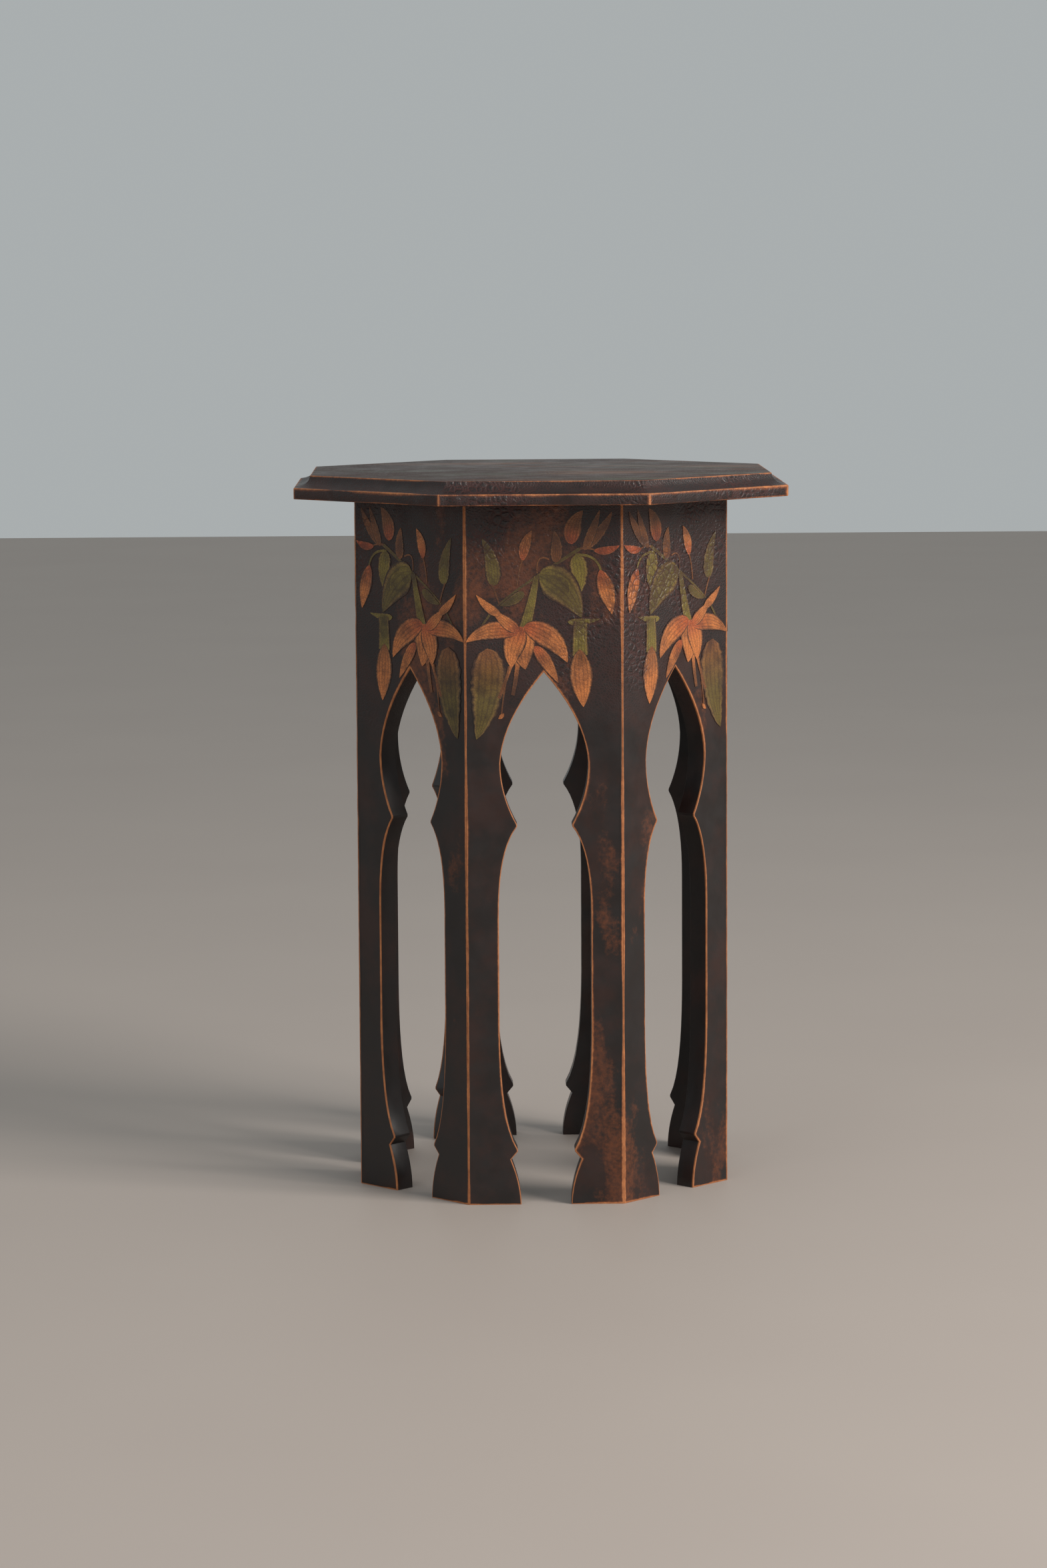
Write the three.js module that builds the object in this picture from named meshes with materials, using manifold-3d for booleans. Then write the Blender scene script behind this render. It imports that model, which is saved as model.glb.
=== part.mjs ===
// Octagonal side table, in millimetres: +Z up, floor at z = 0, one panel facing -Y.
// A moulded octagonal top sits on eight mitred panels, each pierced by a cusped arch
// that is open at the floor, so that every corner of the base is a leg with two feet.
// Glue blocks in the internal corners and behind the panels carry the top, and a
// countersunk screw rises through each corner block into the top.
import * as THREE from 'three';
import { mergeVertices } from 'three/addons/utils/BufferGeometryUtils.js';
import Module from 'manifold-3d';

const wasm = await Module();
wasm.setup();

// Base: eight panels
const SIDES = 8;
const BASE_HEIGHT = 467.5;
const BASE_FLATS = 250;
const PANEL_THICKNESS = 15;

// Top board: a square edge band below a cove
const TOP_FLATS = 330;
const EDGE_BAND = 7.5;
const COVE_RISE = 8;
const COVE_REACH = 11;

// Arch opening, stacked from the floor up
const FOOT_HEIGHT = 30.5;
const LOWER_CUSP_RISE = 6;
const BODY_HEIGHT = 218;
const LOBE_HEIGHT = 41.5;
const HEAD_RISE = 60;

// Half widths of the opening at the ends of its curves
const FOOT_HALF = 16.7;
const NOTCH_HALF = 23.4;
const LOWER_CUSP_HALF = 19;
const BODY_HALF = 30.6;
const UPPER_CUSP_HALF = 18.2;
const LOBE_HALF = 29;

// How the curves of the opening bend
const FOOT_BEND = 14;
const LOWER_FLARE = 93.5;
const LOWER_SWELL = 58.5;
const LOWER_BEND = 18.5;
const LOWER_SLACK = 1.1;
const UPPER_FLARE = 59.5;
const UPPER_BEND = 16.5;
const LOBE_BEND = 20.5;
const HEAD_BEND = 28;
const HEAD_DRAW = 1.5;
const CUSP_BLUNT = 1.5;

// Glue blocks in the internal corners, under the top
const BLOCK_LEG = 27;
const BLOCK_DEPTH = 17;
const BLOCK_HEIGHT = 24;

// Triangular rubbed blocks behind the panels, under the top
const RUBBED_SIDE = 14;
const BLOCK_SPACING = 0.5;

// Slotted countersunk wood screws
const SCREW_LENGTH = 32;
const SCREW_INSET = 9.5;
const SCREW_SINK = 0.6;
const SHANK_RADIUS = 2.2;
const HEAD_RADIUS = 4.2;
const HEAD_RIM = 0.5;
const HEAD_CONE = 2.4;
const POINT_LENGTH = 7;
const SLOT_WIDTH = 1;
const SLOT_DEPTH = 1.1;

// Clearances
const GLUE_LINE = 0.3;
const SCREW_CLEARANCE = 0.3;

// Fineness of the curves, and how far a cutter runs past what it cuts
const CURVE_STEPS = 10;
const COVE_STEPS = 5;
const SCREW_SEGMENTS = 16;
const CUT_MARGIN = 5;
const MERGE_DISTANCE = 1e-4;

const HALF_SECTOR = Math.PI / SIDES;
const TOP_Z = BASE_HEIGHT + EDGE_BAND + COVE_RISE;
const OUTER_APOTHEM = BASE_FLATS / 2;
const INNER_APOTHEM = OUTER_APOTHEM - PANEL_THICKNESS;
const BLOCK_Z = BASE_HEIGHT - BLOCK_HEIGHT;
const BLOCK_TIP = -(INNER_APOTHEM - GLUE_LINE) / Math.cos(HALF_SECTOR);
const SCREW_Y = BLOCK_TIP + SCREW_INSET;
const SCREW_Z = BLOCK_Z + SCREW_SINK;

// Axes that stand a drawn profile upright, and that lay a section along the panel
const X_AXIS = new THREE.Vector3(1, 0, 0);
const Y_AXIS = new THREE.Vector3(0, 1, 0);
const Z_AXIS = new THREE.Vector3(0, 0, 1);
const UPRIGHT = new THREE.Matrix4().makeBasis(X_AXIS, Z_AXIS, Y_AXIS.clone().negate());
const ALONG_PANEL = new THREE.Matrix4().makeBasis(Y_AXIS, Z_AXIS, X_AXIS);

const lacquer = new THREE.MeshStandardMaterial({
  name: 'dark_lacquer', color: 0x1d1210, roughness: 0.38, metalness: 0,
});
const bareWood = new THREE.MeshStandardMaterial({
  name: 'bare_wood', color: 0x6e4c30, roughness: 0.8, metalness: 0,
});
const steel = new THREE.MeshStandardMaterial({
  name: 'steel', color: 0x8d8a84, roughness: 0.45, metalness: 1,
});

// Turns a closed geometry into a solid that can be cut.
function toSolid(geometry) {
  const bare = geometry.clone();
  bare.deleteAttribute('normal');
  bare.deleteAttribute('uv');
  const merged = mergeVertices(bare, MERGE_DISTANCE);
  const corners = merged.index.array;
  const triangles = [];
  for (let i = 0; i < corners.length; i += 3) {
    const [a, b, c] = [corners[i], corners[i + 1], corners[i + 2]];
    if (a !== b && b !== c && c !== a) {
      triangles.push(a, b, c);
    }
  }
  return new wasm.Manifold(new wasm.Mesh({
    numProp: 3,
    vertProperties: new Float32Array(merged.attributes.position.array),
    triVerts: new Uint32Array(triangles),
  }));
}

// Turns a solid back into a geometry.
function toGeometry(solid) {
  const { vertProperties, triVerts } = solid.getMesh();
  const geometry = new THREE.BufferGeometry();
  geometry.setAttribute('position', new THREE.BufferAttribute(vertProperties, 3));
  geometry.setIndex(new THREE.BufferAttribute(triVerts, 1));
  geometry.computeVertexNormals();
  return geometry;
}

function namedMesh(name, geometry, material) {
  const mesh = new THREE.Mesh(geometry, material);
  mesh.name = name;
  return mesh;
}

function extrude(shape, depth) {
  return new THREE.ExtrudeGeometry(shape, { depth, bevelEnabled: false, steps: 1 });
}

// A solid of revolution about Z from points of radius and height, listed upwards.
function revolve(points, segments, start = 0) {
  return new THREE.LatheGeometry(points, segments, start).applyMatrix4(UPRIGHT);
}

// Right half of the arch opening: x across the panel, y up, from below the floor to the apex.
function archHalf() {
  const lowerCusp = FOOT_HEIGHT + LOWER_CUSP_RISE;
  const upperCusp = lowerCusp + BODY_HEIGHT;
  const spring = upperCusp + LOBE_HEIGHT;
  const apex = spring + HEAD_RISE;
  const blunt = CUSP_BLUNT / 2;
  const half = new THREE.Path();
  half.moveTo(FOOT_HALF, -CUT_MARGIN);
  half.lineTo(FOOT_HALF, 0);
  half.quadraticCurveTo(FOOT_HALF, FOOT_BEND, NOTCH_HALF, FOOT_HEIGHT);
  half.lineTo(LOWER_CUSP_HALF, lowerCusp - blunt);
  half.lineTo(LOWER_CUSP_HALF, lowerCusp + blunt);
  half.bezierCurveTo(
    BODY_HALF - LOWER_SLACK, lowerCusp + LOWER_BEND,
    BODY_HALF, lowerCusp + LOWER_SWELL,
    BODY_HALF, lowerCusp + LOWER_FLARE,
  );
  half.lineTo(BODY_HALF, upperCusp - UPPER_FLARE);
  half.quadraticCurveTo(BODY_HALF, upperCusp - UPPER_BEND, UPPER_CUSP_HALF, upperCusp - blunt);
  half.lineTo(UPPER_CUSP_HALF, upperCusp + blunt);
  half.quadraticCurveTo(LOBE_HALF, upperCusp + LOBE_BEND, LOBE_HALF, spring);
  half.quadraticCurveTo(LOBE_HALF - HEAD_DRAW, spring + HEAD_BEND, 0, apex);
  return half.getPoints(CURVE_STEPS);
}

// The whole opening as a solid that runs past both faces of the front panel.
function archCutter() {
  const right = archHalf();
  const left = right.slice(0, -1).reverse().map((point) => new THREE.Vector2(-point.x, point.y));
  const opening = extrude(new THREE.Shape([...right, ...left]), PANEL_THICKNESS + 2 * CUT_MARGIN);
  opening.applyMatrix4(UPRIGHT);
  opening.translate(0, CUT_MARGIN - INNER_APOTHEM, 0);
  return opening;
}

// Half the width of a panel at a distance from the table's axis, short of the mitre's glue line.
function mitredHalfWidth(apothem) {
  return apothem * Math.tan(HALF_SECTOR) - GLUE_LINE / 2 / Math.cos(HALF_SECTOR);
}

// The front panel: a board with mitred edges, cut by the arch.
function panelGeometry() {
  const outerHalf = mitredHalfWidth(OUTER_APOTHEM);
  const innerHalf = mitredHalfWidth(INNER_APOTHEM);
  const plan = new THREE.Shape([
    new THREE.Vector2(-outerHalf, -OUTER_APOTHEM),
    new THREE.Vector2(outerHalf, -OUTER_APOTHEM),
    new THREE.Vector2(innerHalf, -INNER_APOTHEM),
    new THREE.Vector2(-innerHalf, -INNER_APOTHEM),
  ]);
  const board = toSolid(extrude(plan, BASE_HEIGHT));
  return toGeometry(board.subtract(toSolid(archCutter())));
}

// A wood screw standing on its head, its axis on Z.
function screwGeometry() {
  const profile = [
    new THREE.Vector2(0, 0),
    new THREE.Vector2(HEAD_RADIUS, 0),
    new THREE.Vector2(HEAD_RADIUS, HEAD_RIM),
    new THREE.Vector2(SHANK_RADIUS, HEAD_RIM + HEAD_CONE),
    new THREE.Vector2(SHANK_RADIUS, SCREW_LENGTH - POINT_LENGTH),
    new THREE.Vector2(0, SCREW_LENGTH),
  ];
  const slot = new THREE.BoxGeometry(SLOT_WIDTH, 2 * HEAD_RADIUS + CUT_MARGIN, 2 * SLOT_DEPTH);
  return toGeometry(toSolid(revolve(profile, SCREW_SEGMENTS)).subtract(toSolid(slot)));
}

// The hole for a screw, with its countersink, from below the block to past the screw's point.
function screwHole() {
  const headRadius = HEAD_RADIUS + SCREW_CLEARANCE;
  const shankRadius = SHANK_RADIUS + SCREW_CLEARANCE;
  const profile = [
    new THREE.Vector2(0, -CUT_MARGIN),
    new THREE.Vector2(headRadius, -CUT_MARGIN),
    new THREE.Vector2(headRadius, HEAD_RIM),
    new THREE.Vector2(shankRadius, HEAD_RIM + HEAD_CONE),
    new THREE.Vector2(shankRadius, SCREW_LENGTH + SCREW_CLEARANCE),
    new THREE.Vector2(0, SCREW_LENGTH + SCREW_CLEARANCE),
  ];
  return revolve(profile, SCREW_SEGMENTS).translate(0, SCREW_Y, SCREW_Z);
}

// A five-sided block that fills the corner between two panels. The corner points to -Y.
function cornerBlockGeometry() {
  const legX = BLOCK_LEG * Math.cos(HALF_SECTOR);
  const legY = BLOCK_LEG * Math.sin(HALF_SECTOR);
  const frontX = legX - (BLOCK_DEPTH - legY) * Math.tan(HALF_SECTOR);
  const plan = new THREE.Shape([
    new THREE.Vector2(0, BLOCK_TIP),
    new THREE.Vector2(legX, BLOCK_TIP + legY),
    new THREE.Vector2(frontX, BLOCK_TIP + BLOCK_DEPTH),
    new THREE.Vector2(-frontX, BLOCK_TIP + BLOCK_DEPTH),
    new THREE.Vector2(-legX, BLOCK_TIP + legY),
  ]);
  const block = extrude(plan, BLOCK_HEIGHT).translate(0, 0, BLOCK_Z);
  return toGeometry(toSolid(block).subtract(toSolid(screwHole())));
}

// A triangular block in the angle between the front panel and the top, from one corner
// block to the next.
function rubbedBlockGeometry() {
  const face = GLUE_LINE - INNER_APOTHEM;
  const half = INNER_APOTHEM * Math.tan(HALF_SECTOR) - BLOCK_LEG - BLOCK_SPACING;
  const section = new THREE.Shape([
    new THREE.Vector2(face, BASE_HEIGHT),
    new THREE.Vector2(face, BASE_HEIGHT - RUBBED_SIDE),
    new THREE.Vector2(face + RUBBED_SIDE, BASE_HEIGHT),
  ]);
  return extrude(section, 2 * half).applyMatrix4(ALONG_PANEL).translate(-half, 0, 0);
}

// The top: an eight-sided turn of its edge section, with a blind hole for each screw.
function topGeometry() {
  const edge = TOP_FLATS / 2;
  const section = new THREE.Path();
  section.moveTo(0, BASE_HEIGHT);
  section.lineTo(edge, BASE_HEIGHT);
  section.lineTo(edge, BASE_HEIGHT + EDGE_BAND);
  section.absellipse(edge, TOP_Z, COVE_REACH, COVE_RISE, 1.5 * Math.PI, Math.PI, true);
  section.lineTo(0, TOP_Z);
  const corners = section.getPoints(COVE_STEPS).map(
    (point) => new THREE.Vector2(point.x / Math.cos(HALF_SECTOR), point.y),
  );
  let board = toSolid(revolve(corners, SIDES, HALF_SECTOR));
  for (let side = 0; side < SIDES; side += 1) {
    const hole = screwHole().rotateZ((2 * side + 1) * HALF_SECTOR);
    board = board.subtract(toSolid(hole));
  }
  return toGeometry(board);
}

const table = new THREE.Group();
table.add(namedMesh('top_board', topGeometry(), lacquer));

const panel = panelGeometry();
const cornerBlock = cornerBlockGeometry();
const rubbedBlock = rubbedBlockGeometry();
const screw = screwGeometry();

// Number 1 is the panel that faces -Y, and the corner to its right, seen from outside.
for (let side = 0; side < SIDES; side += 1) {
  const number = side + 1;
  const bay = new THREE.Group();
  bay.rotation.z = 2 * side * HALF_SECTOR;
  bay.add(namedMesh(`side_panel_${number}`, panel, lacquer));
  bay.add(namedMesh(`rubbed_block_${number}`, rubbedBlock, bareWood));
  table.add(bay);

  const corner = new THREE.Group();
  corner.rotation.z = (2 * side + 1) * HALF_SECTOR;
  corner.add(namedMesh(`corner_block_${number}`, cornerBlock, bareWood));
  const fastener = namedMesh(`top_screw_${number}`, screw, steel);
  fastener.position.set(0, SCREW_Y, SCREW_Z);
  corner.add(fastener);
  table.add(corner);
}

export default table;
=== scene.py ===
"""The looks of an octagonal side table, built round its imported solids.

Dark crackled lacquer, a painted spray on each panel, and arrises that use has rubbed back
to bare orange wood. Lengths are in metres, in the frame of the solids: +Z up, the floor at
zero, the first panel facing -Y. Only the painted strokes are listed in millimetres.
"""

from __future__ import annotations

import logging
import math
from collections.abc import Callable
from dataclasses import dataclass, field
from enum import Enum

import bmesh
import bpy
from mathutils import Matrix, Vector, noise

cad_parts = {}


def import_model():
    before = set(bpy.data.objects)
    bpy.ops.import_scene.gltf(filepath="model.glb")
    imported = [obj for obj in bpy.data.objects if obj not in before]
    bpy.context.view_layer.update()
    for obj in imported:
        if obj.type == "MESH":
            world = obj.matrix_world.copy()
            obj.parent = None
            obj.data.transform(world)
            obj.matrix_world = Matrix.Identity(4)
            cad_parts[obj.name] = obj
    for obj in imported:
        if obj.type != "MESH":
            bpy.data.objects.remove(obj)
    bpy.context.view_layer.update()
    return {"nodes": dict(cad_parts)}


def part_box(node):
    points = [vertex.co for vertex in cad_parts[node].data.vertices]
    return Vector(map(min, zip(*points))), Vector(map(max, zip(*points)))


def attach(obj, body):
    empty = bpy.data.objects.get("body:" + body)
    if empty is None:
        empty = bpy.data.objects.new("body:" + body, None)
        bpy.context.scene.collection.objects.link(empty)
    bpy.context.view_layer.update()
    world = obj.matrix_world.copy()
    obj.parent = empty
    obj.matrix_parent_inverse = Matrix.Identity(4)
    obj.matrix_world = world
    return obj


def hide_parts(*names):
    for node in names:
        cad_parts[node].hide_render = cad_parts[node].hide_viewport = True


LOG = logging.getLogger("side_table")
MM = 0.001
SIDES = 8
SECTOR = 2 * math.pi / SIDES

# How closely two lengths agree, and how near points are welded
HAIR = 2e-5
WELD = 1e-5

# How square a face stands, and within what angle two faces count as one
SQUARE_ON = 0.999
FLAT_WITHIN = math.radians(0.6)

# How deep the small chips of an arris are, as a share of the large ones
SMALL_CHIPS = 0.6

# The Mix node lists its colour sockets after its number and vector ones
MIX_FIRST = 6
MIX_SECOND = 7
MIX_RESULT = 2

Socket = bpy.types.NodeSocket
Part = bmesh.types.BMVert | bmesh.types.BMEdge | bmesh.types.BMFace
Value = float | Socket
Point = tuple[float, float]
Place = tuple[float, float, float]
Colour = tuple[float, float, float]


# Working on meshes


def take_up(piece: bpy.types.Object) -> None:
    """Makes a piece the only selected object, and the active one.

    Args:
        piece: The piece.
    """
    bpy.ops.object.select_all(action="DESELECT")
    piece.select_set(True)
    bpy.context.view_layer.objects.active = piece


def new_piece(name: str, mesh: bpy.types.Mesh) -> bpy.types.Object:
    """Puts a mesh in the scene as an object at the origin.

    Args:
        name: The piece's name.
        mesh: The mesh that holds the piece's place and shape.

    Returns:
        The new object.
    """
    piece = bpy.data.objects.new(name, mesh)
    bpy.context.scene.collection.objects.link(piece)
    return piece


class Bench:
    """Edit-mode work on one piece: parts of it are picked by place, then an operator acts."""

    def __init__(self, piece: bpy.types.Object) -> None:
        """Takes the piece that is worked on."""
        self.piece = piece

    def __enter__(self) -> Bench:
        """Opens the piece in edit mode, with edges as what is picked.

        Returns:
            The bench itself.
        """
        take_up(self.piece)
        bpy.ops.object.mode_set(mode="EDIT")
        bpy.ops.mesh.select_mode(type="EDGE")
        return self

    def __exit__(self, *reason: object) -> None:
        """Goes back to object mode."""
        bpy.ops.object.mode_set(mode="OBJECT")

    def pick_all(self) -> None:
        """Picks the whole mesh."""
        bpy.ops.mesh.select_all(action="SELECT")

    def pick_edges(self, test: Callable[[Vector, Vector], bool]) -> None:
        """Picks the edges whose two ends pass a test.

        Args:
            test: Says of an edge's two ends whether the edge is wanted.
        """
        work = self._open("EDGE")
        self._pick([edge for edge in work.edges if test(edge.verts[0].co, edge.verts[1].co)])

    def pick_faces(self, test: Callable[[Vector, Vector], bool]) -> None:
        """Picks the faces whose middle and normal pass a test.

        Args:
            test: Says of a face's middle and normal whether the face is wanted.
        """
        work = self._open("FACE")
        self._pick([face for face in work.faces if test(face.calc_center_median(), face.normal)])

    def pick_points(self, test: Callable[[Vector], bool]) -> None:
        """Picks the vertices whose place passes a test.

        Args:
            test: Says of a vertex's place whether the vertex is wanted.
        """
        work = self._open("VERT")
        self._pick([vertex for vertex in work.verts if test(vertex.co)])

    def _open(self, kind: str) -> bmesh.types.BMesh:
        """Drops what is picked, and opens the mesh to pick parts of one kind.

        Args:
            kind: The kind of part, by its name in the select_mode operator.

        Returns:
            The open mesh.
        """
        bpy.ops.mesh.select_mode(type=kind)
        bpy.ops.mesh.select_all(action="DESELECT")
        return bmesh.from_edit_mesh(self.piece.data)

    def _pick(self, found: list[Part]) -> None:
        """Picks the parts that were found.

        Args:
            found: The parts.
        """
        for part in found:
            part.select_set(True)
        bmesh.update_edit_mesh(self.piece.data)


def near(value: float, target: float, reach: float = HAIR) -> bool:
    """Says whether two lengths agree within a hair."""
    return abs(value - target) < reach


def flat_part(co: Vector) -> Vector:
    """A place's way out from the table's axis, laid flat."""
    return Vector((co.x, co.y, 0.0))


def wear(co: Vector, coarse: float, fine: float) -> float:
    """How deep an arris is chipped at a place, from 0 up.

    Args:
        co: The place.
        coarse: How fine the large chips are.
        fine: How fine the small ones are, which are weaker.

    Returns:
        The depth, where about 1 is the deepest.
    """
    return max(0.0, noise.noise(co * coarse) + SMALL_CHIPS * noise.noise(co * fine))


def joined_copy(node: bpy.types.Object, name: str) -> bpy.types.Object:
    """Copies a solid as one joined mesh with whole faces, ready to be worked on.

    Args:
        node: The solid's object, which stays as it is.
        name: The copy's name.

    Returns:
        The copy.
    """
    piece = new_piece(name, node.data.copy())
    take_up(piece)
    bpy.ops.mesh.customdata_custom_splitnormals_clear()
    with Bench(piece) as bench:
        bench.pick_all()
        bpy.ops.mesh.remove_doubles(threshold=WELD)
        bpy.ops.mesh.dissolve_limited(angle_limit=FLAT_WITHIN)
    piece.data.materials.clear()
    return piece


def soften(piece: bpy.types.Object, degrees: float = 25.0) -> None:
    """Shades a piece smooth across edges flatter than an angle."""
    take_up(piece)
    bpy.ops.object.shade_smooth_by_angle(angle=math.radians(degrees))


def hand_over(piece: bpy.types.Object, slot: str, *nodes: str) -> None:
    """Fixes a finished piece to the table in place of its solids.

    Args:
        piece: The finished piece.
        slot: The name of a material slot; not used.
        *nodes: The solids that it stands for, if any.
    """
    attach(piece, "root")
    if nodes:
        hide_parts(*nodes)
    LOG.info("%s: %d faces", piece.name, len(piece.data.polygons))


# Working on materials


class Palette:
    """Builds one node material, from its coordinates to its shader."""

    def __init__(self, name: str) -> None:
        """Starts an empty material.

        Args:
            name: The material's name.
        """
        self.material = bpy.data.materials.new(name)
        self.material.use_nodes = True
        self.tree = self.material.node_tree
        self.tree.nodes.clear()
        output = self.tree.nodes.new("ShaderNodeOutputMaterial")
        self.shader = self.tree.nodes.new("ShaderNodeBsdfPrincipled")
        self.tree.links.new(self.shader.outputs["BSDF"], output.inputs["Surface"])
        self.place = self.tree.nodes.new("ShaderNodeTexCoord").outputs["Object"]

    def _feed(self, socket: Socket, value: object) -> None:
        """Links a socket to another, or gives it a plain value.

        Args:
            socket: The socket that is fed.
            value: Another node's socket, a number, a vector or a colour.
        """
        if isinstance(value, bpy.types.NodeSocket):
            self.tree.links.new(value, socket)
        elif isinstance(value, tuple) and socket.type == "RGBA":
            socket.default_value = (*value, 1.0)
        else:
            socket.default_value = value

    def sum(self, kind: str, *values: Value, clamp: bool = False) -> Socket:
        """One step of arithmetic.

        Args:
            kind: The Math node's operation.
            *values: Its inputs, as numbers or sockets.
            clamp: Whether the result is kept from 0 to 1.

        Returns:
            The result's socket.
        """
        node = self.tree.nodes.new("ShaderNodeMath")
        node.operation = kind
        node.use_clamp = clamp
        for socket, value in zip(node.inputs, values):
            self._feed(socket, value)
        return node.outputs[0]

    def split(self, vector: Socket) -> list[Socket]:
        """Takes a vector apart.

        Args:
            vector: The vector.

        Returns:
            Its three coordinates.
        """
        node = self.tree.nodes.new("ShaderNodeSeparateXYZ")
        self._feed(node.inputs[0], vector)
        return list(node.outputs)

    def stretch(self, vector: Socket, scale: Place) -> Socket:
        """Scales each coordinate of a vector.

        Args:
            vector: The vector.
            scale: What each coordinate is multiplied by.

        Returns:
            The scaled vector.
        """
        node = self.tree.nodes.new("ShaderNodeMapping")
        self._feed(node.inputs["Vector"], vector)
        node.inputs["Scale"].default_value = scale
        return node.outputs[0]

    def wander(self, vector: Socket, scale: float, reach: float) -> Socket:
        """A vector pushed about by noise.

        Args:
            vector: The coordinates.
            scale: How fine the noise is.
            reach: How far it pushes at most.

        Returns:
            The pushed coordinates.
        """
        push = self.tree.nodes.new("ShaderNodeTexNoise")
        self._feed(push.inputs["Vector"], vector)
        push.inputs["Scale"].default_value = scale
        centred = self.tree.nodes.new("ShaderNodeVectorMath")
        centred.operation = "SUBTRACT"
        self._feed(centred.inputs[0], push.outputs["Color"])
        centred.inputs[1].default_value = (0.5, 0.5, 0.5)
        moved = self.tree.nodes.new("ShaderNodeVectorMath")
        moved.operation = "MULTIPLY_ADD"
        self._feed(moved.inputs[0], centred.outputs[0])
        moved.inputs[1].default_value = (2 * reach, 2 * reach, 2 * reach)
        self._feed(moved.inputs[2], vector)
        return moved.outputs[0]

    def grain(self, vector: Socket, scale: float, detail: float = 3.0, rough: float = 0.55) -> Socket:
        """Noise from 0 to 1.

        Args:
            vector: The coordinates.
            scale: How fine the noise is.
            detail: How many octaves it has.
            rough: How strong the fine octaves are.

        Returns:
            The noise's socket.
        """
        node = self.tree.nodes.new("ShaderNodeTexNoise")
        self._feed(node.inputs["Vector"], vector)
        node.inputs["Scale"].default_value = scale
        node.inputs["Detail"].default_value = detail
        node.inputs["Roughness"].default_value = rough
        return node.outputs["Fac"]

    def cells(self, vector: Socket, scale: float) -> Socket:
        """A net of crackle cells.

        Args:
            vector: The coordinates.
            scale: How many cells there are to a metre.

        Returns:
            How far a point lies inside its cell: 0 on the crack, about 0.5 in the middle.
        """
        node = self.tree.nodes.new("ShaderNodeTexVoronoi")
        node.feature = "DISTANCE_TO_EDGE"
        self._feed(node.inputs["Vector"], vector)
        node.inputs["Scale"].default_value = scale
        return node.outputs["Distance"]

    def fade(self, value: Value, start: float, end: float, low: float = 0.0, high: float = 1.0) -> Socket:
        """A smooth step between two values.

        Args:
            value: What is stepped.
            start: Where the step starts.
            end: Where it ends, which may be below the start.
            low: The result up to the start.
            high: The result past the end.

        Returns:
            The step's socket.
        """
        node = self.tree.nodes.new("ShaderNodeMapRange")
        node.interpolation_type = "SMOOTHSTEP"
        self._feed(node.inputs["Value"], value)
        node.inputs["From Min"].default_value = start
        node.inputs["From Max"].default_value = end
        node.inputs["To Min"].default_value = low
        node.inputs["To Max"].default_value = high
        return node.outputs["Result"]

    def mix(self, share: Value, first: object, second: object) -> Socket:
        """Two colours mixed.

        Args:
            share: The second colour's share.
            first: The first colour, or its socket.
            second: The second colour, or its socket.

        Returns:
            The mixed colour's socket.
        """
        node = self.tree.nodes.new("ShaderNodeMix")
        node.data_type = "RGBA"
        self._feed(node.inputs["Factor"], share)
        self._feed(node.inputs[MIX_FIRST], first)
        self._feed(node.inputs[MIX_SECOND], second)
        return node.outputs[MIX_RESULT]

    def attribute(self, name: str, output: str = "Fac") -> Socket:
        """A value or colour that the mesh carries.

        Args:
            name: The attribute's name.
            output: The Attribute node's output that gives it.

        Returns:
            The value's socket.
        """
        node = self.tree.nodes.new("ShaderNodeAttribute")
        node.attribute_name = name
        return node.outputs[output]

    def relief(
        self, height: Socket, depth: float, strength: float = 1.0, below: Socket | None = None
    ) -> Socket:
        """A bump.

        Args:
            height: How high the surface stands, from 0 to 1.
            depth: The height of 1, in metres.
            strength: How much of the bump shows.
            below: The normal that it is laid on, if any.

        Returns:
            The bumped normal.
        """
        node = self.tree.nodes.new("ShaderNodeBump")
        node.inputs["Strength"].default_value = strength
        node.inputs["Distance"].default_value = depth
        self._feed(node.inputs["Height"], height)
        if below is not None:
            self._feed(node.inputs["Normal"], below)
        return node.outputs[0]

    def distance(self, x: Socket, y: Socket) -> Socket:
        """How long the way is that goes x along and y across."""
        return self.sum("SQRT", self.sum("ADD", self.sum("MULTIPLY", x, x), self.sum("MULTIPLY", y, y)))

    def fold(self) -> tuple[Socket, Socket, Socket]:
        """The place on the table's side, the same for each of its eight sectors.

        Returns:
            How far across the sector a point is, how far out from the axis, and how high.
        """
        x, y, z = self.split(self.place)
        turn = self.sum("ARCTAN2", x, self.sum("MULTIPLY", y, -1.0))
        steps = self.sum("ROUND", self.sum("DIVIDE", turn, SECTOR))
        angle = self.sum("SUBTRACT", turn, self.sum("MULTIPLY", steps, SECTOR))
        reach = self.distance(x, y)
        across = self.sum("MULTIPLY", reach, self.sum("SINE", angle))
        outward = self.sum("MULTIPLY", reach, self.sum("COSINE", angle))
        return across, outward, z

    def finish(self, colour: Socket, rough: Value, normal: Socket | None) -> bpy.types.Material:
        """Feeds the shader.

        Args:
            colour: The base colour.
            rough: The roughness.
            normal: The bumped normal, if any.

        Returns:
            The finished material.
        """
        self._feed(self.shader.inputs["Base Color"], colour)
        self._feed(self.shader.inputs["Roughness"], rough)
        if normal is not None:
            self._feed(self.shader.inputs["Normal"], normal)
        return self.material


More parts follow.
